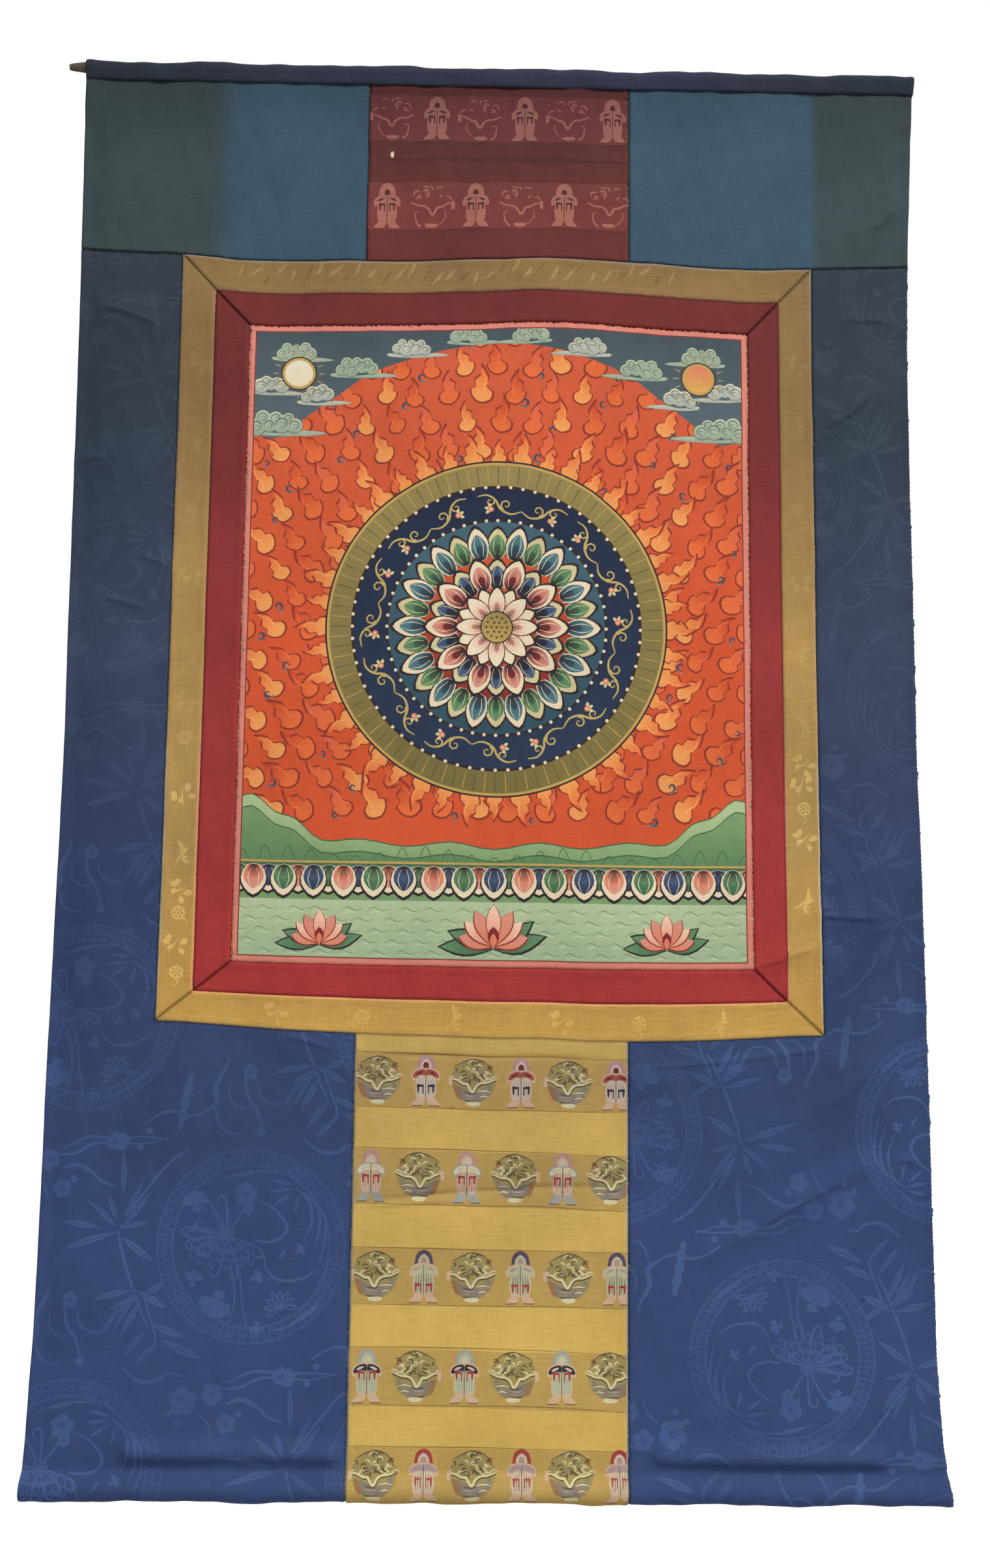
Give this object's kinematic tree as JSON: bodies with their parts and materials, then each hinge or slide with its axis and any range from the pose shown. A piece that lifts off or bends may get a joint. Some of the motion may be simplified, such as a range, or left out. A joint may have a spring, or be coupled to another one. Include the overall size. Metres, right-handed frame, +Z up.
{
  "type": "thangka scroll painting with its hanging stave",
  "caption": "Sewn silk mount round a painted cotton panel, hung flat from a round wooden stave in its heading, with a round dowel in its foot sleeve.",
  "frame": {"origin": "middle of the heading's top edge, over the middle of the stave, where it is held up", "axes": "+Z up along the hanging cloth, +X to the viewer's right, -Y towards the viewer"},
  "size_m": [1.0222, 0.0297, 1.6603],
  "materials": {
    "old_wood": "dull, darkened by handling",
    "navy_cotton": "matt plain weave",
    "teal_silk": "soft plain silk, faded",
    "red_brocade": "maroon silk with small woven motifs",
    "gold_damask": "mustard silk, tone on tone",
    "crimson_silk": "plain crimson silk",
    "painted_cotton": "matt mineral paint on sized cotton",
    "blue_damask": "dark blue silk damask, tone on tone",
    "gold_brocade": "golden silk with small woven motifs"
  },
  "bodies": {
    "root": {"top_stave": "old_wood", "foot_dowel": "old_wood", "heading_sleeve": "navy_cotton", "teal_panel_left": "teal_silk", "teal_panel_right": "teal_silk", "top_panel": "red_brocade", "gold_frame_top": "gold_damask", "gold_frame_right": "gold_damask", "gold_frame_foot": "gold_damask", "gold_frame_left": "gold_damask", "red_frame_top": "crimson_silk", "red_frame_right": "crimson_silk", "red_frame_foot": "crimson_silk", "red_frame_left": "crimson_silk", "painting": "painted_cotton", "blue_panel_left": "blue_damask", "blue_panel_right": "blue_damask", "column_panel": "gold_brocade"}
  },
  "joints": []
}
